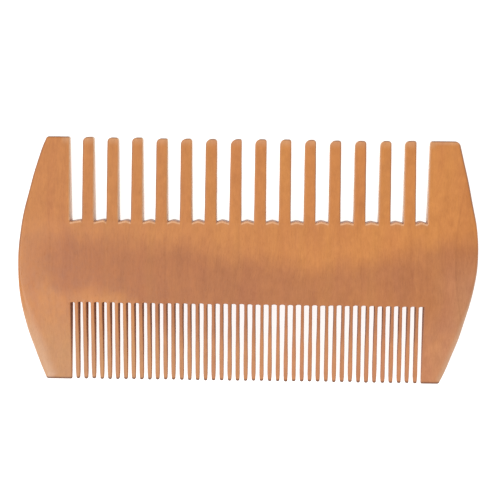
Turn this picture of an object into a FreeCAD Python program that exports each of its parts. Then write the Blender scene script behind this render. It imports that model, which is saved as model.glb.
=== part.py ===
import FreeCAD, Part
import math
import os
import Sketcher
from FreeCAD import Placement, Rotation, Vector

# A two-sided wooden beard comb cut from one flat board.
# Frame: the comb lies flat, X along it, Y from the fine teeth to the coarse teeth and
# Z up through its thickness. The origin is the middle of the comb.
# The comb is one piece of wood. It is divided here, where the teeth and the end
# guards leave the spine, into convex regions that meet face to face.

NUMBER_OF_COARSE_TEETH = 14
NUMBER_OF_FINE_TEETH = 43

SIZES = {
    # side profile: the board's flat faces along the spine, shaved away on both sides
    # towards the two rows of tips
    "board_thickness": 4.8,
    "flat_half_width": 3.0,
    "tip_reach": 26.68,
    "coarse_root": 8.55,
    "fine_root": 9.35,
    "coarse_root_thickness": 4.62,
    "fine_root_thickness": 4.1,
    "coarse_shaved_radius": 175.0,
    "fine_shaved_radius": 90.0,
    "coarse_tip_thickness": 1.8,
    "fine_tip_thickness": 0.8,
    "coarse_edge_round": 0.5,
    "fine_edge_round": 0.3,
    # coarse row; shift places its middle, drift is how far its end teeth sit to the right
    # of an even spacing
    "coarse_pitch": 5.358,
    "coarse_shift": -0.1,
    "coarse_drift": 0.24,
    "coarse_root_width": 2.56,
    "coarse_tip_width": 2.48,
    "coarse_corner_round": 0.7,
    # fine row
    "fine_pitch": 1.7714,
    "fine_shift": -0.3,
    "fine_drift": 0.23,
    "fine_root_width": 0.72,
    "fine_tip_width": 0.88,
    "fine_corner_round": 0.4,
    # inner walls of the end guards lean slightly outwards towards the coarse tips
    "left_wall_coarse_end": 38.68,
    "left_wall_fine_end": 38.5,
    "right_wall_coarse_end": 39.08,
    "right_wall_fine_end": 38.39,
    # outer edge of the left end guard: corners, two shoulders and the arcs between
    "left_top": 43.85,
    "left_upper_shoulder": 48.25,
    "left_lower_shoulder": 48.98,
    "left_bottom": 44.1,
    "left_upper_radius": 400.0,
    "left_middle_radius": 52.0,
    "left_lower_radius": 68.0,
    # outer edge of the right end guard, cut a little differently by hand
    "right_top": 45.45,
    "right_upper_shoulder": 48.88,
    "right_lower_shoulder": 47.73,
    "right_bottom": 42.43,
    "right_upper_radius": 400.0,
    "right_middle_radius": 46.0,
    "right_lower_radius": 160.0,
    "shoulder_reach": 12.0,
    "guard_corner_round": 0.8,
    # blanks are cut larger than the comb and trimmed to the side profile
    "blank_length": 120.0,
    "blank_depth": 10.0,
}

# turns that carry a sketch or a blank from the XY plane to its place
FACE_PLANE = Rotation()
SIDE_PLANE = Rotation(Vector(0, 1, 0), -90)
HALF_TURN = Rotation(Vector(0, 0, 1), 180)
TURNED_OVER = Rotation(Vector(0, 1, 0), 180)

doc = FreeCAD.newDocument("beard_comb")

sheet = doc.addObject("Spreadsheet::Sheet", "Sizes")
sheet.Label = "sizes"
for row, (alias, value) in enumerate(SIZES.items(), start=1):
    sheet.set("A%d" % row, alias.replace("_", " "))
    sheet.set("B%d" % row, str(value))
    sheet.setAlias("B%d" % row, alias)
doc.recompute()


def arc_between(start, end, radius):
    """Counter-clockwise arc from start to end."""
    chord = end - start
    to_centre = Vector(-chord.y, chord.x, 0).normalize()
    centre = (start + end) * 0.5 + to_centre * math.sqrt(radius ** 2 - (chord.Length / 2) ** 2)
    first = math.atan2(start.y - centre.y, start.x - centre.x)
    last = math.atan2(end.y - centre.y, end.x - centre.x)
    if last < first:
        last += 2 * math.pi
    return Part.ArcOfCircle(Part.Circle(centre, Vector(0, 0, 1), radius), first, last)


def closed_sketch(name, corners, rotation):
    """Counter-clockwise outline through corners.

    Each corner is (x factor, x alias, y factor, y alias, radius alias or None); the
    radius belongs to the side that starts at the corner.
    """
    sketch = doc.addObject("Sketcher::SketchObject", name)
    sketch.Placement = Placement(Vector(0, 0, 0), rotation)
    points = []
    for x_factor, x_alias, y_factor, y_alias, radius_alias in corners:
        points.append(Vector(x_factor * SIZES[x_alias], y_factor * SIZES[y_alias], 0))
    count = len(corners)
    for side in range(count):
        start = points[side]
        end = points[(side + 1) % count]
        radius_alias = corners[side][4]
        if radius_alias is None:
            sketch.addGeometry(Part.LineSegment(start, end), False)
        else:
            sketch.addGeometry(arc_between(start, end, SIZES[radius_alias]), False)
    for side in range(count):
        sketch.addConstraint(Sketcher.Constraint("Coincident", side, 2, (side + 1) % count, 1))
    for side in range(count):
        x_factor, x_alias, y_factor, y_alias, radius_alias = corners[side]
        across = sketch.addConstraint(
            Sketcher.Constraint("DistanceX", -1, 1, side, 1, points[side].x))
        sketch.setExpression("Constraints[%d]" % across, "%r * sizes.%s" % (x_factor, x_alias))
        upward = sketch.addConstraint(
            Sketcher.Constraint("DistanceY", -1, 1, side, 1, points[side].y))
        sketch.setExpression("Constraints[%d]" % upward, "%r * sizes.%s" % (y_factor, y_alias))
        if radius_alias is not None:
            bend = sketch.addConstraint(
                Sketcher.Constraint("Radius", side, SIZES[radius_alias]))
            sketch.setExpression("Constraints[%d]" % bend, "sizes.%s" % radius_alias)
    doc.recompute()
    return sketch


def extruded(name, sketch, length_alias):
    """Solid on both sides of a sketch."""
    solid = doc.addObject("Part::Extrusion", name)
    solid.Base = sketch
    solid.DirMode = "Normal"
    solid.Solid = True
    solid.Symmetric = True
    solid.setExpression("LengthFwd", "sizes.%s" % length_alias)
    doc.recompute()
    return solid


def rounded(name, base, wanted, radius):
    """Fillet the edges of base whose two end points satisfy wanted(first, second)."""
    chosen = []
    for index, edge in enumerate(base.Shape.Edges, start=1):
        if len(edge.Vertexes) == 2 and wanted(edge.Vertexes[0].Point, edge.Vertexes[1].Point):
            chosen.append((index, radius, radius))
    solid = doc.addObject("Part::Fillet", name)
    solid.Base = base
    solid.Edges = chosen
    doc.recompute()
    return solid


def long_edges_at(y):
    """Edges that run along X at this y."""
    def wanted(first, second):
        level = abs(first.y - y) < 0.001 and abs(second.y - y) < 0.001
        return level and abs(first.x - second.x) > 1
    return wanted


def upright_edges_at(y, beyond=0.0):
    """Edges that run through the thickness at this y, at least beyond from the middle."""
    def wanted(first, second):
        level = abs(first.y - y) < 0.001 and abs(second.y - y) < 0.001
        upright = abs(first.x - second.x) < 0.001
        return level and upright and abs(first.x) >= beyond
    return wanted


def trimmed(label, blank):
    """One named region of the comb: a blank trimmed to the side profile."""
    region = doc.addObject("Part::Common", label.title().replace("_", ""))
    region.Base = blank
    region.Tool = profile
    region.Label = label
    regions.append(region)
    return region


regions = []

# Side profile of the whole comb, swept along X.
profile_sketch = closed_sketch("SideProfile", [
    (-0.5, "fine_tip_thickness", -1, "tip_reach", None),
    (0.5, "fine_tip_thickness", -1, "tip_reach", None),
    (0.5, "fine_root_thickness", -1, "fine_root", "fine_shaved_radius"),
    (0.5, "board_thickness", -1, "flat_half_width", None),
    (0.5, "board_thickness", 1, "flat_half_width", "coarse_shaved_radius"),
    (0.5, "coarse_root_thickness", 1, "coarse_root", None),
    (0.5, "coarse_tip_thickness", 1, "tip_reach", None),
    (-0.5, "coarse_tip_thickness", 1, "tip_reach", None),
    (-0.5, "coarse_root_thickness", 1, "coarse_root", "coarse_shaved_radius"),
    (-0.5, "board_thickness", 1, "flat_half_width", None),
    (-0.5, "board_thickness", -1, "flat_half_width", "fine_shaved_radius"),
    (-0.5, "fine_root_thickness", -1, "fine_root", None),
], SIDE_PLANE)
board = extruded("Board", profile_sketch, "blank_length")
coarse_rounded = rounded(
    "BoardCoarseEdge", board, long_edges_at(SIZES["tip_reach"]), SIZES["coarse_edge_round"])
profile = rounded(
    "BoardProfile", coarse_rounded, long_edges_at(-SIZES["tip_reach"]), SIZES["fine_edge_round"])


def wall_at(side, height):
    """Expression for the distance of a guard's inner wall from the middle at Y = height."""
    low = "sizes.%s_wall_fine_end" % side
    high = "sizes.%s_wall_coarse_end" % side
    share = "(sizes.tip_reach + %s) / (2 * sizes.tip_reach)" % height
    return "%s + (%s - %s) * %s" % (low, high, low, share)


# Spine: the solid band between the two rows, ending on the planes of the inner walls.
spine_blank = doc.addObject("Part::Wedge", "SpineBlank")
spine_blank.setExpression("Ymin", "-sizes.fine_root")
spine_blank.setExpression("Ymax", "sizes.coarse_root")
spine_blank.setExpression("Zmin", "-sizes.blank_depth / 2")
spine_blank.setExpression("Zmax", "sizes.blank_depth / 2")
spine_blank.setExpression("Z2min", "-sizes.blank_depth / 2")
spine_blank.setExpression("Z2max", "sizes.blank_depth / 2")
spine_blank.setExpression("Xmin", "-(%s)" % wall_at("left", "(-sizes.fine_root)"))
spine_blank.setExpression("Xmax", wall_at("right", "(-sizes.fine_root)"))
spine_blank.setExpression("X2min", "-(%s)" % wall_at("left", "sizes.coarse_root"))
spine_blank.setExpression("X2max", wall_at("right", "sizes.coarse_root"))
doc.recompute()
trimmed("spine", spine_blank)

# End guards: convex outer edge, straight inner wall, full width of the comb.
for side, turn in (("left", TURNED_OVER), ("right", FACE_PLANE)):
    guard_sketch = closed_sketch(side.title() + "GuardOutline", [
        (1, side + "_wall_fine_end", -1, "tip_reach", None),
        (1, side + "_bottom", -1, "tip_reach", side + "_lower_radius"),
        (1, side + "_lower_shoulder", -1, "shoulder_reach", side + "_middle_radius"),
        (1, side + "_upper_shoulder", 1, "shoulder_reach", side + "_upper_radius"),
        (1, side + "_top", 1, "tip_reach", None),
        (1, side + "_wall_coarse_end", 1, "tip_reach", None),
    ], turn)
    guard_blank = extruded(side.title() + "GuardBlank", guard_sketch, "blank_depth")
    outer_corner = upright_edges_at(
        SIZES["tip_reach"], beyond=SIZES[side + "_wall_coarse_end"] + 1)
    guard_rounded = rounded(
        side.title() + "GuardRounded", guard_blank, outer_corner, SIZES["guard_corner_round"])
    trimmed(side + "_guard", guard_rounded)


def tooth(label, row, turn, steps_from_middle, steps_to_end):
    """One straight tooth of the coarse or fine row, with a rounded tip."""
    name = label.title().replace("_", "")
    blank = doc.addObject("Part::Wedge", name + "Blank")
    blank.Placement = Placement(Vector(0, 0, 0), turn)
    even = "sizes.%s_shift + %r * sizes.%s_pitch" % (row, steps_from_middle, row)
    endward = (steps_from_middle / steps_to_end) ** 2
    across = "%s + %r * sizes.%s_drift" % (even, endward, row)
    blank.setExpression("Placement.Base.x", across)
    blank.setExpression("Ymin", "sizes.%s_root" % row)
    blank.setExpression("Ymax", "sizes.tip_reach")
    blank.setExpression("Zmin", "-sizes.blank_depth / 2")
    blank.setExpression("Zmax", "sizes.blank_depth / 2")
    blank.setExpression("Z2min", "-sizes.blank_depth / 2")
    blank.setExpression("Z2max", "sizes.blank_depth / 2")
    blank.setExpression("Xmin", "-sizes.%s_root_width / 2" % row)
    blank.setExpression("Xmax", "sizes.%s_root_width / 2" % row)
    blank.setExpression("X2min", "-sizes.%s_tip_width / 2" % row)
    blank.setExpression("X2max", "sizes.%s_tip_width / 2" % row)
    blank.recompute()
    tip = SIZES["tip_reach"] if row == "coarse" else -SIZES["tip_reach"]
    tip_rounded = rounded(
        name + "Rounded", blank, upright_edges_at(tip), SIZES[row + "_corner_round"])
    trimmed(label, tip_rounded)


for number in range(NUMBER_OF_COARSE_TEETH):
    middle = (NUMBER_OF_COARSE_TEETH - 1) / 2
    tooth("coarse_tooth_%02d" % (number + 1), "coarse", FACE_PLANE, number - middle, middle)
for number in range(NUMBER_OF_FINE_TEETH):
    middle = (NUMBER_OF_FINE_TEETH - 1) / 2
    tooth("fine_tooth_%02d" % (number + 1), "fine", HALF_TURN, number - middle, middle)

doc.recompute()
for item in doc.Objects:
    if "Invalid" in item.State or "Error" in item.State:
        raise RuntimeError("%s did not rebuild: %s" % (item.Name, item.State))
for region in regions:
    shape = region.Shape
    if shape.isNull() or not shape.isValid() or len(shape.Solids) != 1:
        raise RuntimeError("%s is not one valid solid" % region.Label)

os.makedirs("parts", exist_ok=True)
for region in regions:
    region.Shape.Solids[0].exportStep("parts/%s.step" % region.Label)
whole = Part.makeCompound([region.Shape for region in regions])
print(len(regions), "regions,", round(sum(region.Shape.Volume for region in regions), 1), "mm3")
print("box", whole.BoundBox)
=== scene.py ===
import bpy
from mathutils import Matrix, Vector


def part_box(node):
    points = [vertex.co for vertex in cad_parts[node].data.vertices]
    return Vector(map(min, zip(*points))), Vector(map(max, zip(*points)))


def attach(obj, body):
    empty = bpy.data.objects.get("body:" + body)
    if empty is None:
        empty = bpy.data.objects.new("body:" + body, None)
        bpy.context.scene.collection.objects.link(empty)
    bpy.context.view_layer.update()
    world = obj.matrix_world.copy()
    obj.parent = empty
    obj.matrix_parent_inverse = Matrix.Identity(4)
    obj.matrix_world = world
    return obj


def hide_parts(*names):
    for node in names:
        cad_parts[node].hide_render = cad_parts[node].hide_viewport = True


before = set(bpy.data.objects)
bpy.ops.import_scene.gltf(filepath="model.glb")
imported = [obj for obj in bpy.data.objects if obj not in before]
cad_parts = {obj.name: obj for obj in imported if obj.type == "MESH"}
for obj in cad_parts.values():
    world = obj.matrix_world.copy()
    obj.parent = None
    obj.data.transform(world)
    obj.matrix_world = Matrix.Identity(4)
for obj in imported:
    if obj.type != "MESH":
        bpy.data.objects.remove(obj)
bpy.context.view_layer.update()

import math
import random

import bmesh
import bpy
from mathutils import Matrix, Vector

# A two-sided wooden beard comb, lying flat: X along it, Y from the fine teeth to the
# coarse teeth, Z up. Lengths are in millimetres unless they say otherwise; every piece
# is built in the row frame and stands for its CAD node. While a piece is lofted, x runs
# along the comb, y from its front face to its back and z up from fine to coarse tips.
MM = 0.001

COARSE_TEETH = 14
FINE_TEETH = 43

# half thickness of the comb, from the fine tips at -1 to the coarse tips at 1
HALF_THICKNESS = [(-1.0, 0.42), (-0.84, 0.76), (-0.66, 1.28), (-0.48, 1.78), (-0.36, 2.08),
                  (-0.22, 2.29), (-0.1, 2.39), (0.0, 2.40), (0.1, 2.40), (0.2, 2.38),
                  (0.32, 2.30), (0.46, 2.03), (0.64, 1.65), (0.84, 1.23), (1.0, 0.90)]
THICKEST = 2.4              # half thickness of the spine in this list
# outer edge of each end: distance towards the coarse tips, distance from the middle
LEFT_EDGE = [(26.7, 43.6), (24.8, 44.57), (23.0, 45.22), (21.3, 45.76), (17.9, 46.76),
             (14.4, 47.66), (11.0, 48.48), (7.5, 49.17), (4.0, 49.68), (0.5, 49.97),
             (-3.0, 50.01), (-6.5, 49.79), (-10.1, 49.35), (-13.7, 48.6), (-17.3, 47.64),
             (-20.9, 46.43), (-24.5, 45.02), (-26.7, 44.1)]
RIGHT_EDGE = [(26.7, 45.45), (22.8, 46.42), (19.3, 47.28), (15.9, 48.05), (12.4, 48.8),
              (9.0, 49.46), (5.5, 49.9), (3.7, 50.0), (2.0, 50.0), (-1.6, 49.86),
              (-5.1, 49.39), (-8.7, 48.6), (-12.3, 47.64), (-16.0, 46.57), (-19.7, 45.3),
              (-23.4, 43.9), (-26.7, 42.4)]

# what differs between the two ends; radii of the top corners, and of the outer edge low down
LEFT_END = {"outer_edge": LEFT_EDGE, "left": True,
            "outer_top": 0.35, "inner_top": 0.4, "low_round": 3.4}
RIGHT_END = {"outer_edge": RIGHT_EDGE, "left": False,
             "outer_top": 1.0, "inner_top": 0.65, "low_round": 1.7}

# what differs between the two rows of teeth; some pairs are the limits of a random draw
COARSE_ROW = {
    "way": 1.0,                     # from the spine to the tips
    "root_widths": (2.56, 2.56),    # at the left and at the right of the comb
    "tip_width": 2.42,
    "tip_short": (0.0, 0.14),       # how far a tip stays behind its CAD tip
    "lean": (-0.05, 0.05),          # how far the tip stands to the right of the root
    "left_lean": 0.0,               # added to the lean towards the left of the comb
    "left_corner": (0.85, 1.1),     # rounding of the corners of the tip
    "right_corner": (0.4, 0.7),
    "middle_corner": 0.35,          # added to the left corner in the middle of the comb
    "tip_slope": (-0.05, 0.04),     # from side to side
    "tip_thinning": 0.34,           # rounding of the tip through the thickness
    "long_edge": 0.27,              # rounding of the long edges
    "end_grain_and_shade": (0.25, 0.0),       # dark end, end grain with painted shade: starts and is full at these distances from the tip
}
FINE_ROW = {
    "way": -1.0,
    "root_widths": (0.74, 0.6),
    "tip_width": 0.92,
    "tip_short": (0.0, 0.12),
    "lean": (-0.035, 0.035),
    "left_lean": 0.12,
    "left_corner": (0.4, 0.44),
    "right_corner": (0.38, 0.44),
    "middle_corner": 0.0,
    "tip_slope": (-0.12, 0.12),
    "tip_thinning": 0.24,
    "long_edge": 0.11,
    "end_grain_and_shade": (0.7, 0.2),
}
NARROWEST_TIP = 0.16

# floors of the gaps: half width of a tooth at its root, rounding through the thickness
COARSE_HALF_ROOT = 1.26
FINE_HALF_ROOT = 0.33
COARSE_FLOOR_ROUND = 0.5
FINE_FLOOR_ROUND = 0.1

# how finely the meshes are divided
CORNER_STEPS = 5            # segments in each rounded long edge
SHARP_ANGLE = math.radians(38)
GUARD_STEPS = 46
TOOTH_STEPS = 16
FACE_STEPS = 22             # across the face of the spine
COARSE_COLUMNS = (0.0, 0.004, 0.06, 0.14, 0.26, 0.38, 0.5, 0.62, 0.74, 0.86, 0.94, 0.996, 1.0)
FINE_COLUMNS = (0.0, 0.01, 0.12, 0.3, 0.5, 0.7, 0.88, 0.99, 1.0)
# distances from a tip, closer together where it rounds off
TIP_STEPS = (1.6, 1.2, 0.95, 0.75, 0.6, 0.48, 0.38, 0.29, 0.21, 0.145, 0.09, 0.05, 0.02, 0.0)


def smooth_curve(points, at):
    """Smooth curve through (x, y) points listed in either direction."""
    pts = sorted(points)
    if at <= pts[0][0]:
        return pts[0][1]
    if at >= pts[-1][0]:
        return pts[-1][1]
    i = 0
    while pts[i + 1][0] < at:
        i += 1

    def slope(k):
        a = pts[max(k - 1, 0)]
        b = pts[min(k + 1, len(pts) - 1)]
        return (b[1] - a[1]) / (b[0] - a[0])

    (x0, y0), (x1, y1) = pts[i], pts[i + 1]
    span = x1 - x0
    u = (at - x0) / span
    m0, m1 = slope(i) * span, slope(i + 1) * span
    return ((2 * u ** 3 - 3 * u ** 2 + 1) * y0 + (u ** 3 - 2 * u ** 2 + u) * m0
            + (3 * u ** 2 - 2 * u ** 3) * y1 + (u ** 3 - u ** 2) * m1)


def step(low, high, value):
    """0 at low, 1 at high, with a smooth passage between."""
    u = min(max((value - low) / (high - low), 0.0), 1.0)
    return u * u * (3 - 2 * u)


def mix(a, b, u):
    """The value at share u of the way from a to b."""
    return a + (b - a) * u


def node_box(node):
    """Lowest and highest corner of a CAD node, in millimetres."""
    low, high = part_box(node)
    return low / MM, high / MM


spine_low, spine_high = node_box("spine")
left_guard_low, left_guard_high = node_box("left_guard")
right_guard_low = node_box("right_guard")[0]
TOP = left_guard_high.y
BOTTOM = left_guard_low.y
COARSE_ROOT = spine_high.y
FINE_ROOT = spine_low.y
SPINE_HALF = (spine_high.z - spine_low.z) / 2


def half_thickness(z):
    """Half the thickness of the comb at height z."""
    return smooth_curve(HALF_THICKNESS, z / TOP) * SPINE_HALF / THICKEST


def left_wall(z):
    """Where the left guard's inner wall stands at height z."""
    return mix(left_guard_high.x, spine_low.x, (z - BOTTOM) / (COARSE_ROOT - BOTTOM))


def right_wall(z):
    """Where the right guard's inner wall stands at height z."""
    return mix(right_guard_low.x, spine_high.x, (z - BOTTOM) / (COARSE_ROOT - BOTTOM))


# ---------------------------------------------------------------- lofted meshes
class Loft:
    """A closed skin over a row of sections with the same number of points.

    Every point carries how near it is to a long edge (edge), how far it lies on a
    sawn wall (wall) and how much it faces the end of the grain (end).
    """

    def __init__(self):
        self.sections = []

    def add(self, points):
        self.sections.append(points)

    def build(self, name):
        """Make the mesh with its marks, and its object."""
        mesh = bpy.data.meshes.new(name)
        verts, faces, marks = [], [], []
        for section in self.sections:
            for x, y, z, edge, side, end in section:
                verts.append((x * MM, z * MM, -y * MM))
                marks.append((edge, side, end))
        count = len(self.sections[0])
        for i in range(len(self.sections) - 1):
            for j in range(count):
                k = (j + 1) % count
                faces.append((i * count + j, i * count + k,
                              (i + 1) * count + k, (i + 1) * count + j))
        last = (len(self.sections) - 1) * count
        faces.append(tuple(reversed(range(count))))
        faces.append(tuple(last + j for j in range(count)))
        mesh.from_pydata(verts, [], faces)
        for index, label in enumerate(("edge", "wall", "end")):
            layer = mesh.attributes.new(label, "FLOAT", "POINT")
            layer.data.foreach_set("value", [mark[index] for mark in marks])
        work = bmesh.new()
        work.from_mesh(mesh)
        bmesh.ops.recalc_face_normals(work, faces=work.faces)
        bmesh.ops.triangulate(work, faces=[f for f in work.faces if len(f.verts) > 4])
        work.to_mesh(mesh)
        work.free()
        mesh.shade_smooth()
        mesh.set_sharp_from_angle(angle=SHARP_ANGLE)
        piece = bpy.data.objects.new(name, mesh)
        bpy.context.scene.collection.objects.link(piece)
        return piece


def flat_section(z, x0, x1, half, left, right, end=0.0, lift=None):
    """Rounded bar section at height z, counter-clockwise from the front left edge.

    left and right give (reach across the face, reach through the thickness) of the
    rounded edges on that side.
    """
    points = []
    rim = min(0.22, (x1 - x0) * 0.12)   # how far the look of the edge runs onto the face

    def put(x, y, edge, side):
        height = z if lift is None else lift(x, z)
        points.append((x, y, height, edge, side, end))

    def corner(x_centre, y_centre, reach, start):
        reach_x, reach_y = reach
        for i in range(CORNER_STEPS + 1):
            a = start + math.pi / 2 * i / CORNER_STEPS
            side = abs(math.cos(a))
            edge = math.sin(math.pi * min(0.5 * (side + 0.15), 0.5)) if reach_x else 1.0
            put(x_centre + reach_x * math.cos(a), y_centre + reach_y * math.sin(a), edge, side)

    lx, ly = left
    rx, ry = right
    ly, ry = min(ly, half * 0.95), min(ry, half * 0.95)
    # front left corner, front face, front right corner
    corner(x0 + lx, -half + ly, (lx, ly), math.pi)
    for u in (0.0, 0.5, 1.0):
        put(mix(x0 + lx + rim, x1 - rx - rim, u), -half, 0.0, 0.0)
    corner(x1 - rx, -half + ry, (rx, ry), -math.pi / 2)
    put(x1, 0.0, 0.6, 1.0)
    # back right corner, back face, back left corner
    corner(x1 - rx, half - ry, (rx, ry), 0.0)
    for u in (1.0, 0.5, 0.0):
        put(mix(x0 + lx + rim, x1 - rx - rim, u), half, 0.0, 0.0)
    corner(x0 + lx, half - ly, (lx, ly), math.pi / 2)
    put(x0, 0.0, 0.6, 1.0)
    return points


def rounded_in(distance, radius):
    """How far a rounded corner has drawn in at this distance from the tip."""
    if distance >= radius or radius <= 0:
        return 0.0
    return radius - math.sqrt(max(radius ** 2 - (radius - distance) ** 2, 0.0))


def plain_on_spine(point, wall):
    """The point without its edge and wall marks where it lies against the spine."""
    x, y, z, edge, side, end = point
    if abs(abs(x) - wall) > 0.3:
        return point
    return x, y, z, 0.0, 0.0, end


def guard(name, shape, seed):
    """One bowed end of the comb, lofted from the fine side to the coarse side."""
    chance = random.Random(seed)
    loft = Loft()
    heights = [BOTTOM + d for d in TIP_STEPS] + [TOP - d for d in TIP_STEPS]
    for i in range(1, GUARD_STEPS):
        heights.append(mix(BOTTOM + TIP_STEPS[0], TOP - TIP_STEPS[0], i / GUARD_STEPS))
    heights += [COARSE_ROOT, COARSE_ROOT - 0.25, FINE_ROOT, FINE_ROOT + 0.25]
    heights = sorted(set(round(h, 4) for h in heights))
    wobble = [chance.uniform(-1, 1) for _ in range(2)]
    for z in heights:
        from_top, from_bottom = TOP - z, z - BOTTOM
        outer = smooth_curve(shape["outer_edge"], z)
        outer += (0.03 * math.sin(z * 0.31 + wobble[0] * 3)
                  + 0.02 * math.sin(z * 0.73 + wobble[1] * 3))
        outer -= rounded_in(from_top, shape["outer_top"]) + rounded_in(from_bottom, 0.3)
        inner = -left_wall(z) if shape["left"] else right_wall(z)
        inner += rounded_in(from_top, shape["inner_top"]) + rounded_in(from_bottom, 0.3)
        half = half_thickness(z) - (rounded_in(from_top, 0.42) + rounded_in(from_bottom, 0.2))
        half = max(half, 0.12)
        # the outer edge is eased, most of all low on the comb
        soft = step(-2.0, -20.0, z)
        tip_ease = min(1.0, 0.25 + min(from_top, from_bottom) / 1.5)
        outer_round = (mix(0.55, shape["low_round"], soft) * tip_ease,
                       mix(0.75, 0.95, soft) * tip_ease)
        # the inner edge is eased only beside the teeth
        in_gap = z >= COARSE_ROOT or z <= FINE_ROOT
        inner_reach = (0.27 if z > 0 else 0.13) if in_gap else 0.0
        inner_round = (inner_reach, inner_reach)
        # darker ends at the bottom and top: end grain with painted shade
        end = step(0.62, 0.2, from_bottom) + step(0.3, 0.0, from_top)
        if shape["left"]:
            section = flat_section(z, -outer, -inner, half, outer_round, inner_round, end)
        else:
            section = flat_section(z, inner, outer, half, inner_round, outer_round, end)
        if not in_gap:
            section = [plain_on_spine(point, inner) for point in section]
        loft.add(section)
    return loft.build(name)


def tooth(name, low, high, row, seed):
    """One tooth, lofted from its root on the spine to its rounded tip."""
    chance = random.Random(seed)
    loft = Loft()
    coarse = row is COARSE_ROW
    centre = (low.x + high.x) / 2
    root, tip = (low.y, high.y) if coarse else (high.y, low.y)
    tip -= row["way"] * chance.uniform(*row["tip_short"])
    length = abs(tip - root)
    root_width = mix(*row["root_widths"], step(-25, 20, centre)) * chance.uniform(0.985, 1.015)
    tip_width = row["tip_width"] * chance.uniform(0.975, 1.025)
    lean = chance.uniform(*row["lean"]) + row["left_lean"] * step(20, -5, centre)
    left_corner = chance.uniform(*row["left_corner"])
    left_corner += row["middle_corner"] * step(-30, -5, centre) * step(38, 18, centre)
    right_corner = chance.uniform(*row["right_corner"])
    tip_slope = chance.uniform(*row["tip_slope"])
    waver = chance.uniform(0, 6.28)

    stations = [length * i / TOOTH_STEPS for i in range(TOOTH_STEPS)]
    stations = [s for s in stations if s < length - TIP_STEPS[0]]
    stations += [length - d for d in TIP_STEPS]

    def lift(x, z):
        """Height z on a tip that slopes from side to side."""
        return z + tip_slope * (x - centre) * step(length - 2.0, length, abs(z - root))

    for along in stations:
        z = root + row["way"] * along
        u = along / length
        from_tip = length - along
        half_width = mix(root_width, tip_width, u if coarse else step(0.0, 0.9, u)) / 2
        if not coarse:
            half_width -= 0.05 * step(1.6, 0.2, from_tip)
        half_width += 0.012 * math.sin(along * 0.9 + waver)
        middle = centre + lean * u
        x0 = middle - half_width + rounded_in(from_tip, left_corner)
        x1 = middle + half_width - rounded_in(from_tip, right_corner)
        if x1 - x0 < NARROWEST_TIP:
            shared = (x0 + x1) / 2
            x0, x1 = shared - NARROWEST_TIP / 2, shared + NARROWEST_TIP / 2
        half = half_thickness(z) - rounded_in(from_tip, row["tip_thinning"])
        reach = min(row["long_edge"], (x1 - x0) * 0.28) * mix(0.35, 1.0, step(0.0, 0.5, along))
        # darker tip: end grain with painted shade
        end = step(*row["end_grain_and_shade"], from_tip)
        loft.add(flat_section(z, x0, x1, half, (reach, reach), (reach, reach), end, lift))
    return loft.build(name)


def find_gaps(boxes, half_width, root):
    """Both edges of every gap, as shares of the way from the left wall to the right wall."""
    start, end = left_wall(root), right_wall(root)
    edges = [start]
    for low, high in boxes:
        centre = (low.x + high.x) / 2
        edges += [centre - half_width, centre + half_width]
    edges.append(end)
    shares = [(edge - start) / (end - start) for edge in edges]
    return list(zip(shares[0::2], shares[1::2]))


def gap_at(gaps, share):
    """Number of the gap at this share of the way, and how far across that gap it is."""
    for index, (start, end) in enumerate(gaps):
        if start - 1e-8 < share < end + 1e-8:
            u = (share - start) / (end - start)
            return (index, u) if 0.001 < u < 0.999 else None
    return None


def coarse_floor(share, u, peak, rise):
    """Height of a coarse gap's floor: a hump, with the corners at its feet filled in."""
    ridge = u / peak if u < peak else (1 - u) / (1 - peak)
    floor = COARSE_ROOT - 0.24 + rise * (0.6 * ridge + 0.4 * math.sin(ridge * math.pi / 2))
    floor += 0.12 * math.exp(-u / 0.05) + 0.12 * math.exp(-(1 - u) / 0.05)
    floor += 0.5 * share - 0.03     # the gaps get slightly shallower to the right
    return floor


def fine_floor(u, deeper):
    """Height of a fine gap's floor: a low arch."""
    arch = max(0.0, 1 - abs(2 * u - 1) ** 3.0)
    return FINE_ROOT - 0.1 + 0.2 * arch + deeper


def spine_section(share, top, top_gap, low, low_gap):
    """Closed section across the comb, up the front face and down the back.

    top_gap and low_gap are 1 in a coarse gap and in a fine gap, and otherwise 0.
    """
    top_round, low_round = COARSE_FLOOR_ROUND * top_gap, FINE_FLOOR_ROUND * low_gap
    half_top, half_low = half_thickness(top - top_round), half_thickness(low + low_round)
    angles = [math.pi / 2 * i / CORNER_STEPS for i in range(1, CORNER_STEPS + 1)]
    heights = [mix(low + low_round, top - top_round, i / FACE_STEPS)
               for i in range(FACE_STEPS + 1)]
    section = []

    def put(y, z, edge, side):
        section.append((mix(left_wall(z), right_wall(z), share), y, z, edge, side, 0.0))

    def top_corner(a):
        return half_top - top_round * (1 - math.cos(a)), top - top_round + top_round * math.sin(a)

    def low_corner(a):
        return half_low - low_round * (1 - math.cos(a)), low + low_round - low_round * math.sin(a)

    for z in heights[:-1]:
        put(-half_thickness(z), z, 0.0, 0.0)
    put(-half_thickness(heights[-1]), heights[-1], 0.35 * top_gap, 0.0)
    for a in angles:
        y, z = top_corner(a)
        put(-y, z, top_gap * math.sin(2 * a) ** 0.5 if a < angles[-1] else 0.0, 0.0)
    put(0.0, top, 0.0, top_gap)
    for a in reversed(angles):
        y, z = top_corner(a)
        put(y, z, 0.0, top_gap)
    for z in reversed(heights):
        put(half_thickness(z), z, 0.0, 0.0)
    for a in angles:
        y, z = low_corner(a)
        put(y, z, low_gap, math.sin(a) * low_gap)
    put(0.0, low, low_gap, low_gap)
    for a in reversed(angles):
        y, z = low_corner(a)
        put(-y, z, low_gap, math.sin(a) * low_gap)
    return section


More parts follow.
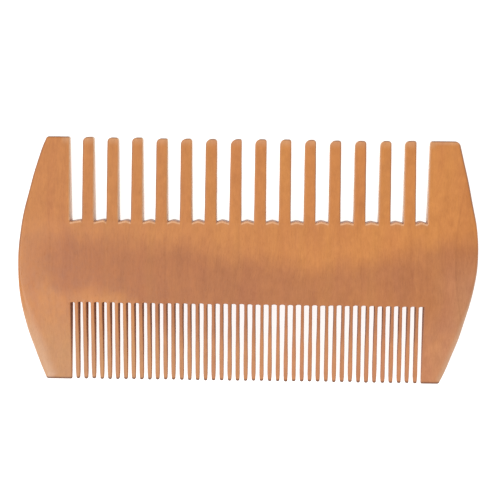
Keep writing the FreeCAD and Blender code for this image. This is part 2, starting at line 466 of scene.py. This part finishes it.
def spine(name, coarse_boxes, fine_boxes):
    """The band between the rows, lofted along X, with the floors of all the gaps."""
    chance = random.Random(77)
    coarse_gaps = find_gaps(coarse_boxes, COARSE_HALF_ROOT, COARSE_ROOT)
    fine_gaps = find_gaps(fine_boxes, FINE_HALF_ROOT, FINE_ROOT)
    humps = []
    for i in range(len(coarse_gaps)):
        # the humps peak further right in the first few gaps
        peak = chance.uniform(0.42, 0.56) + max(0.4 - 0.11 * i, 0.0)
        humps.append((peak, chance.uniform(0.36, 0.5)))
    deeper = [chance.uniform(-0.06, 0.06) for _ in fine_gaps]

    columns = {0.0, 1.0}
    for gaps, across in ((coarse_gaps, COARSE_COLUMNS), (fine_gaps, FINE_COLUMNS)):
        for start, end in gaps:
            columns.update(mix(start, end, u) for u in across)
    columns = sorted(columns)
    kept = [columns[0]]
    for share in columns[1:]:
        if share - kept[-1] > 1e-6:
            kept.append(share)

    loft = Loft()
    for share in kept:
        top, top_gap = COARSE_ROOT, 0.0
        found = gap_at(coarse_gaps, share)
        if found:
            index, u = found
            top, top_gap = coarse_floor(share, u, *humps[index]), 1.0
        low, low_gap = FINE_ROOT, 0.0
        found = gap_at(fine_gaps, share)
        if found:
            index, u = found
            low, low_gap = fine_floor(u, deeper[index]), 1.0
        loft.add(spine_section(share, top, top_gap, low, low_gap))
    return loft.build(name)


# ---------------------------------------------------------------- oiled wood
def srgb(red, green, blue):
    """A colour given in screen values from 0 to 255."""
    def linear(value):
        value /= 255
        return value / 12.92 if value <= 0.04045 else ((value + 0.055) / 1.055) ** 2.4
    return (linear(red), linear(green), linear(blue), 1.0)


LIGHT_LEFT = srgb(185, 117, 60)     # wood above the figure, at the left and right ends
LIGHT_RIGHT = srgb(194, 123, 60)
DARK_LEFT = srgb(165, 98, 51)       # the redder figure
DARK_RIGHT = srgb(165, 101, 60)
LOW_SHEEN_LEFT = srgb(178, 129, 86)      # painted sheen: paler wood low on both ends
LOW_SHEEN_RIGHT = srgb(174, 121, 101)
HAZE = srgb(208, 163, 128)          # dull sheen at the coarse tips and the right end
# painted light on the sawn walls of the coarse gaps, paler towards the back where painted bounce
# light from the floor falls
COARSE_WALL_LIT_FRONT = srgb(216, 172, 136)
COARSE_WALL_BOUNCE_BACK = srgb(222, 204, 184)
# painted shade on the floors of the coarse gaps
GAP_FLOOR_SHADE = srgb(150, 118, 98)
FINE_WALL = srgb(190, 145, 120)
HUMP_EDGE_HIGHLIGHT = srgb(244, 198, 158)     # painted highlight on the eased edges of the humps in the coarse gaps
COARSE_EDGE_LIGHTING = srgb(186, 130, 90)    # painted light: long edges of the teeth, a little paler
# painted shade on long edges facing away from the middle, painted highlight on those facing
# towards it
COARSE_EDGE_SHADE = srgb(142, 92, 66)
COARSE_EDGE_HIGHLIGHT = srgb(226, 188, 150)
# painted shade: a dark line on the long edges of the fine teeth
FINE_EDGE_SHADE = srgb(140, 88, 60)
OUTER_EDGE_SHADE = srgb(126, 80, 57)      # bowed outer edges: painted dark outline on the upper part, painted sheen on the lower part
OUTER_EDGE_SHEEN = srgb(200, 160, 128)
# darker end grain with painted shade on the rounded ends of the tips and guards
END_GRAIN_AND_SHADE = srgb(88, 50, 34)

# the look of the teeth passes into the look of the guards between these distances from
# the middle, one to two millimetres beyond the guards' inner walls
TEETH_END = 39.8
GUARDS_BEGIN = 40.8


class Nodes:
    """Short names for the shader nodes of the wood, and the places they ask for most.

    x runs along the comb, z up it and depth towards its front face, in millimetres.
    place joins them; along is the same, bent a little like the grain.
    """

    def __init__(self, material):
        self.tree = material.node_tree
        self.tree.nodes.clear()
        where = self.new("ShaderNodeTexCoord")
        millimetres = self.stretch(where.outputs["Object"], 1 / MM, 1 / MM, 1 / MM)
        self.x, self.z, self.depth = self.split(millimetres)
        self.facing_x, self.facing_z, _ = self.split(where.outputs["Normal"])
        self.place = self.join(self.x, self.depth, self.z)
        bend = self.times(self.centred(self.noise(self.place, (0.05, 0.05, 0.04))), 5.0)
        self.along = self.join(self.add(self.x, bend), self.depth, self.z)
        self.coarse_side = self.ramp(self.z, -1.0, 1.0)
        self.near_floor = self.ramp(self.z, 12.0, 11.0)
        self.between_guards = self.ramp(self.size(self.x), GUARDS_BEGIN, TEETH_END)

    def new(self, kind, **settings):
        node = self.tree.nodes.new(kind)
        for key, value in settings.items():
            setattr(node, key, value)
        return node

    def link(self, source, target):
        self.tree.links.new(source, target)

    def split(self, vector):
        node = self.new("ShaderNodeSeparateXYZ")
        self.link(vector, node.inputs[0])
        return node.outputs[0], node.outputs[1], node.outputs[2]

    def join(self, x, y, z):
        node = self.new("ShaderNodeCombineXYZ")
        for socket, value in zip(node.inputs, (x, y, z)):
            self.link(value, socket)
        return node.outputs[0]

    def stretch(self, vector, x, y, z):
        node = self.new("ShaderNodeVectorMath", operation="MULTIPLY")
        self.link(vector, node.inputs[0])
        node.inputs[1].default_value = (x, y, z)
        return node.outputs[0]

    def noise(self, vector, scales, detail=3.0, roughness=0.5, distortion=0.0):
        """Noise with its own scale along the comb, through it and up it."""
        node = self.new("ShaderNodeTexNoise")
        self.link(self.stretch(vector, *scales), node.inputs["Vector"])
        node.inputs["Scale"].default_value = 1.0
        node.inputs["Detail"].default_value = detail
        node.inputs["Roughness"].default_value = roughness
        node.inputs["Distortion"].default_value = distortion
        return node.outputs["Fac"]

    def ramp(self, value, low, high, to_low=0.0, to_high=1.0):
        """A smooth passage from to_low, where the value is low, to to_high."""
        node = self.new("ShaderNodeMapRange", interpolation_type="SMOOTHSTEP")
        self.link(value, node.inputs["Value"])
        node.inputs["From Min"].default_value = low
        node.inputs["From Max"].default_value = high
        node.inputs["To Min"].default_value = to_low
        node.inputs["To Max"].default_value = to_high
        return node.outputs["Result"]

    def maths(self, operation, first, second=None, clamp=False):
        node = self.new("ShaderNodeMath", operation=operation, use_clamp=clamp)
        for socket, value in zip(node.inputs, (first, second)):
            if value is None:
                continue
            if isinstance(value, (int, float)):
                socket.default_value = value
            else:
                self.link(value, socket)
        return node.outputs[0]

    def add(self, first, second, clamp=False):
        return self.maths("ADD", first, second, clamp)

    def less(self, first, second):
        return self.maths("SUBTRACT", first, second)

    def times(self, first, second):
        return self.maths("MULTIPLY", first, second)

    def power(self, first, second):
        return self.maths("POWER", first, second)

    def size(self, value):
        return self.maths("ABSOLUTE", value)

    def centred(self, value):
        return self.less(value, 0.5)

    def blend(self, factor, first, second, mode="MIX"):
        node = self.new("ShaderNodeMix", data_type="RGBA", blend_type=mode)
        for socket, value in zip((node.inputs[0], node.inputs[6], node.inputs[7]),
                                 (factor, first, second)):
            if isinstance(value, (int, float, tuple)):
                socket.default_value = value
            else:
                self.link(value, socket)
        return node.outputs[2]

    def mark(self, name):
        """One of the marks that a loft leaves on its points."""
        node = self.new("ShaderNodeAttribute", attribute_name=name, attribute_type="GEOMETRY")
        return node.outputs["Fac"]


class Grain:
    """Soft streaks, fine fibres, short flecks, blotches, pores and rings."""

    def __init__(self, n):
        self.streaks = n.noise(n.along, (0.75, 0.9, 0.035), 4.0, 0.6)
        self.fibres = n.noise(n.along, (5.5, 5.5, 0.32), 3.0, 0.6)
        self.flecks = n.noise(n.along, (3.2, 3.2, 0.75), 2.0, 0.55)
        self.blotches = n.noise(n.place, (0.62, 0.62, 0.42), 3.0, 0.6)
        self.pores = n.ramp(n.noise(n.along, (9.0, 9.0, 1.1), 1.0), 0.66, 0.76)
        rings = n.ramp(n.noise(n.along, (0.34, 0.2, 0.012), 1.0), 0.60, 0.66)
        self.rings = n.times(rings, n.ramp(n.noise(n.place, (0.9, 0.3, 0.05)), 0.45, 0.6))

    def tone(self, n):
        """How light the wood is, around 1."""
        tone = 1.0
        for pattern, strength in ((self.streaks, 0.17), (self.fibres, 0.17),
                                  (self.flecks, 0.18), (self.blotches, 0.28)):
            tone = n.add(tone, n.times(n.centred(pattern), strength))
        tone = n.less(tone, n.times(self.pores, 0.13))
        return n.less(tone, n.times(self.rings, 0.05))


def figure(n):
    """How much of the redder, darker figure shows, below a line that dips in the middle."""
    drift = n.centred(n.noise(n.place, (0.11, 0.08, 0.06), 3.0, 0.6))
    cloud = n.centred(n.noise(n.place, (0.16, 0.2, 0.10), 4.0, 0.55, 0.4))
    line = n.add(n.ramp(n.x, -30.0, 12.0, 3.4, -2.4), n.ramp(n.x, 20.0, 48.0, 0.0, 6.0))
    above = n.add(n.less(n.z, line), n.times(drift, 9.0))
    floor_line = n.ramp(n.x, -32.0, -14.0, -5.5, -16.0)
    below = n.add(n.less(n.z, floor_line), n.times(cloud, 8.0))
    amount = n.times(n.ramp(above, 5.2, -1.8), n.ramp(below, -4.0, 2.5))
    amount = n.times(amount, n.ramp(n.x, -4.0, 14.0, 0.95, 0.72))
    amount = n.add(amount, n.times(cloud, 0.75), True)
    return n.times(amount, n.ramp(n.x, -49.5, -42.0, 0.3, 1.0))


def haze(n):
    """Dull sheen low on the right end, on the coarse tips and on top of the right guard."""
    on_end = n.times(n.ramp(n.x, 38.0, 50.0, 0.0, 0.22), n.ramp(n.z, 4.0, -6.0))
    on_tips = n.times(n.ramp(n.z, TOP - 2.1, TOP, 0.0, 0.4), n.between_guards)
    on_guard = n.times(n.ramp(n.z, TOP - 1.1, TOP - 0.3, 0.0, 0.35),
                       n.ramp(n.x, TEETH_END, GUARDS_BEGIN))
    return n.add(on_end, n.add(on_tips, on_guard))


def broad_colour(n):
    """The colour of the wood without its grain: figure, painted sheen low on both ends and haze.
    """
    rightward = n.ramp(n.x, -38.0, 34.0)
    colour = n.blend(figure(n), n.blend(rightward, LIGHT_LEFT, LIGHT_RIGHT),
                     n.blend(rightward, DARK_LEFT, DARK_RIGHT))
    # painted sheen, paler low on both ends
    low_sheen = n.times(n.ramp(n.z, -8.0, -22.0), n.ramp(n.x, 30.0, -40.0, 0.4, 0.6))
    colour = n.blend(low_sheen, colour, n.blend(rightward, LOW_SHEEN_LEFT, LOW_SHEEN_RIGHT))
    return n.blend(haze(n), colour, HAZE)


def vein(n):
    """How dark the one vein down the right end is; it bows inwards."""
    bow = n.times(n.power(n.size(n.less(n.z, 2.0)), 2.0), 0.008)
    past = n.less(n.less(n.x, bow), 45.1)
    dark = n.add(n.ramp(past, -0.3, 0.3, 0.0, 0.05),
                 n.ramp(n.size(past), 0.35, 0.05, 0.0, 0.07))
    return n.times(dark, n.times(n.ramp(n.z, -17.0, -11.0), n.ramp(n.z, 22.0, 15.0)))


def grained(n, colour, tone):
    """The colour with its grain, in redder and yellower bands about a coarse tooth wide."""
    bands = n.centred(n.noise(n.along, (0.3, 0.2, 0.03), 2.0))
    tint = n.new("ShaderNodeCombineColor")
    n.link(n.add(tone, n.times(bands, 0.1)), tint.inputs[0])
    n.link(n.add(n.power(tone, 1.25), n.times(bands, 0.26)), tint.inputs[1])
    n.link(n.power(tone, 1.45), tint.inputs[2])
    return n.blend(1.0, colour, tint.outputs[0], "MULTIPLY")


def with_edges(n, colour, fibres):
    """The colour with painted shade and highlights on the eased long edges, and painted shade and
    sheen on the outer edges of both ends.
    """
    # painted shade on long edges facing away from the middle, painted highlight on those facing
    # towards it, mostly on the left
    outwards = n.times(n.facing_x, n.x)
    coarse_edge_light_and_shade = n.blend(n.ramp(outwards, 1.0, 6.0), COARSE_EDGE_LIGHTING, COARSE_EDGE_SHADE)
    lit_inwards = n.times(n.ramp(outwards, -3.0, -16.0), n.ramp(n.x, -12.0, 0.0, 1.0, 0.3))
    coarse_edge_light_and_shade = n.blend(lit_inwards, coarse_edge_light_and_shade, COARSE_EDGE_HIGHLIGHT)
    # painted highlight on the eased front edges of the humps
    hump_highlight = n.times(n.times(n.ramp(n.facing_z, 0.06, 0.3), n.near_floor), n.coarse_side)
    # painted shade on the fine edges, painted light and shade on the coarse edges, painted
    # highlight on the humps
    tooth_edge_light_and_shade = n.blend(hump_highlight, n.blend(n.coarse_side, FINE_EDGE_SHADE, coarse_edge_light_and_shade), HUMP_EDGE_HIGHLIGHT)
    # a painted dark outline round the upper part of the ends fades out before the painted sheen
    # on the lower part, higher up at the right end
    level = n.less(n.z, n.ramp(n.x, 0.0, 10.0, 0.0, 8.0))
    low = n.ramp(level, 0.0, -8.0)
    outer_edge_light_and_shade = n.blend(low, OUTER_EDGE_SHADE, OUTER_EDGE_SHEEN)
    rim = n.blend(low, n.ramp(n.mark("edge"), 0.45, 0.9), n.power(n.mark("edge"), 3.0))
    rim = n.times(rim, n.add(n.ramp(level, -1.0, 4.0), n.ramp(level, -3.0, -18.0)))
    amount = n.blend(n.between_guards, rim, n.mark("edge"))
    amount = n.times(amount, n.ramp(fibres, 0.2, 0.8, 0.45, 0.75))
    return n.blend(amount, colour, n.blend(n.between_guards, outer_edge_light_and_shade, tooth_edge_light_and_shade))


def with_gaps(n, colour):
    """The colour with the walls and floors of the gaps: painted light on the coarse walls,
    painted shade on the coarse floors.
    """
    # painted light: the coarse walls grow paler towards the back
    lit_coarse_wall = n.blend(n.ramp(n.depth, 1.4, -1.0), COARSE_WALL_LIT_FRONT, COARSE_WALL_BOUNCE_BACK)
    wall_colour_and_light = n.blend(n.coarse_side, FINE_WALL, lit_coarse_wall)
    # painted shade on the upward-facing floors of the coarse gaps
    shaded_floor = n.times(n.ramp(n.facing_z, 0.5, 0.9), n.near_floor)
    wall_colour_and_light = n.blend(n.times(shaded_floor, n.coarse_side), wall_colour_and_light, GAP_FLOOR_SHADE)
    walls = n.times(n.ramp(n.mark("wall"), 0.85, 0.99), 0.88)
    return n.blend(n.times(walls, n.between_guards), colour, wall_colour_and_light)


def finish(n, colour, grain, sawn):
    """The surface: its gloss, and the grain as a shallow relief."""
    shader = n.new("ShaderNodeBsdfPrincipled")
    n.link(colour, shader.inputs["Base Color"])
    roughness = n.add(n.ramp(grain.blotches, 0.3, 0.7, 0.36, 0.46), n.times(grain.pores, 0.2))
    n.link(roughness, shader.inputs["Roughness"])
    shader.inputs["Specular IOR Level"].default_value = 0.0 if sawn else 0.36
    shader.inputs["Coat Weight"].default_value = 0.0 if sawn else 0.08
    shader.inputs["Coat Roughness"].default_value = 0.3
    height = n.add(n.times(grain.fibres, 0.55), n.times(grain.streaks, 0.6))
    bump = n.new("ShaderNodeBump")
    bump.inputs["Strength"].default_value = 0.22
    bump.inputs["Distance"].default_value = 0.00009     # metres
    n.link(n.less(height, n.times(grain.pores, 0.45)), bump.inputs["Height"])
    n.link(bump.outputs["Normal"], shader.inputs["Normal"])
    out = n.new("ShaderNodeOutputMaterial")
    n.link(shader.outputs[0], out.inputs["Surface"])


def wood(name, sawn):
    """Oiled wood; sawn is the matt version for the deep walls between the fine teeth."""
    material = bpy.data.materials.new(name)
    material.use_nodes = True
    n = Nodes(material)
    grain = Grain(n)
    colour = grained(n, broad_colour(n), n.less(grain.tone(n), vein(n)))
    colour = with_edges(n, colour, grain.fibres)
    colour = with_gaps(n, colour)
    # darker ends: end grain with painted shade
    colour = n.blend(n.times(n.mark("end"), 0.78), colour, END_GRAIN_AND_SHADE)
    finish(n, colour, grain, sawn)
    return material


# ---------------------------------------------------------------- pieces
oiled_wood = wood("oiled_wood", sawn=False)
sawn_wood = wood("sawn_wood", sawn=True)

coarse_nodes = ["coarse_tooth_%02d" % (i + 1) for i in range(COARSE_TEETH)]
fine_nodes = ["fine_tooth_%02d" % (i + 1) for i in range(FINE_TEETH)]
coarse_boxes = [node_box(node) for node in coarse_nodes]
fine_boxes = [node_box(node) for node in fine_nodes]


def finish_piece(piece, node):
    """Give a piece its wood and let it stand for its CAD node."""
    mesh = piece.data
    mesh.materials.append(oiled_wood)
    mesh.materials.append(sawn_wood)
    walls = [mark.value for mark in mesh.attributes["wall"].data]
    for face in mesh.polygons:
        on_wall = all(walls[corner] > 0.9 for corner in face.vertices)
        on_fine_side = face.center.y < (FINE_ROOT + 0.3) * MM
        if on_wall and on_fine_side and abs(face.center.x) < GUARDS_BEGIN * MM:
            face.material_index = 1
    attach(piece, "root")
    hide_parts(node)


finish_piece(spine("spine_wood", coarse_boxes, fine_boxes), "spine")
finish_piece(guard("left_guard_wood", LEFT_END, 3), "left_guard")
finish_piece(guard("right_guard_wood", RIGHT_END, 5), "right_guard")
for nodes, boxes, row, seed in ((coarse_nodes, coarse_boxes, COARSE_ROW, 100),
                                (fine_nodes, fine_boxes, FINE_ROW, 300)):
    for number, node in enumerate(nodes):
        low, high = boxes[number]
        finish_piece(tooth(node + "_wood", low, high, row, seed + number), node)

# ---------------------------------------------------------------- stage
FLOOR_REACH = 6.0            # metres, each way from the comb
FLOOR_GAP = 0.00002          # metres, below the back face of the comb

scene = bpy.context.scene


def pale_floor():
    """A plain pale floor under the comb."""
    level = -SPINE_HALF * MM - FLOOR_GAP
    corners = [(-1, -1), (1, -1), (1, 1), (-1, 1)]
    mesh = bpy.data.meshes.new("floor")
    mesh.from_pydata([(x * FLOOR_REACH, y * FLOOR_REACH, level) for x, y in corners],
                     [], [(0, 1, 2, 3)])
    material = bpy.data.materials.new("pale_floor")
    material.use_nodes = True
    inputs = material.node_tree.nodes["Principled BSDF"].inputs
    inputs["Base Color"].default_value = (0.5, 0.5, 0.503, 1.0)
    inputs["Roughness"].default_value = 0.9
    inputs["Specular IOR Level"].default_value = 0.0
    inputs["Emission Color"].default_value = (1.0, 1.0, 1.0, 1.0)
    inputs["Emission Strength"].default_value = 0.85
    mesh.materials.append(material)
    floor = bpy.data.objects.new("floor", mesh)
    scene.collection.objects.link(floor)
    return floor


def studio_light():
    """Even white light from all round."""
    world = bpy.data.worlds.new("studio")
    world.use_nodes = True
    background = world.node_tree.nodes["Background"].inputs
    background["Color"].default_value = (1.0, 1.0, 1.0, 1.0)
    background["Strength"].default_value = 0.8
    scene.world = world


def area_light(name, place, target, width, power):
    """A square lamp at place, in metres, that shines at target."""
    data = bpy.data.lights.new(name, "AREA")
    data.shape = "SQUARE"
    data.size = width
    data.energy = power
    lamp = bpy.data.objects.new(name, data)
    lamp.location = place
    lamp.rotation_mode = "QUATERNION"
    lamp.rotation_quaternion = (Vector(target) - Vector(place)).to_track_quat("-Z", "Y")
    scene.collection.objects.link(lamp)


pale_floor()
scene.view_settings.view_transform = "Standard"
scene.view_settings.look = "None"
studio_light()
area_light("key", (-0.40, -0.22, 0.78), (0.0, 0.0, 0.0), 0.4, 4.0)

# ---------------------------------------------------------------- camera
DISTANCE = 0.3091            # metres, along the view to the middle of the comb
LEAN = math.radians(7.12)    # from straight above, towards the coarse teeth
YAW = math.radians(-0.49)    # turn of the view; below zero is to the left
ROLL = math.radians(0.72)    # the comb lies a little clockwise in the view
SIDE_STEP = 0.00748          # metres, to the right of the middle
FORWARD_STEP = 0.00049       # metres, towards the coarse teeth
SENSOR_WIDTH = 36.0
LENS = 101.85
SHIFT_ACROSS = -0.04         # of the lens, in widths of the sensor
SHIFT_UP = 0.0184

camera_data = bpy.data.cameras.new("camera")
camera = bpy.data.objects.new("camera", camera_data)
scene.collection.objects.link(camera)
camera.location = (SIDE_STEP, DISTANCE * math.sin(LEAN) + FORWARD_STEP, DISTANCE * math.cos(LEAN))
forward = Vector((math.sin(YAW) * math.cos(LEAN), -math.sin(LEAN),
                  -math.cos(YAW) * math.cos(LEAN)))
level_right = Vector((math.cos(YAW), 0.0, math.sin(YAW)))
level_up = level_right.cross(forward)
right = level_right * math.cos(ROLL) + level_up * math.sin(ROLL)
up = level_up * math.cos(ROLL) - level_right * math.sin(ROLL)
camera.rotation_mode = "QUATERNION"
camera.rotation_quaternion = Matrix((right, up, -forward)).transposed().to_quaternion()
camera_data.sensor_width = SENSOR_WIDTH
camera_data.lens = LENS
camera_data.shift_x = SHIFT_ACROSS
camera_data.shift_y = SHIFT_UP
camera_data.clip_start = 0.01
camera_data.clip_end = 50.0
scene.camera = camera
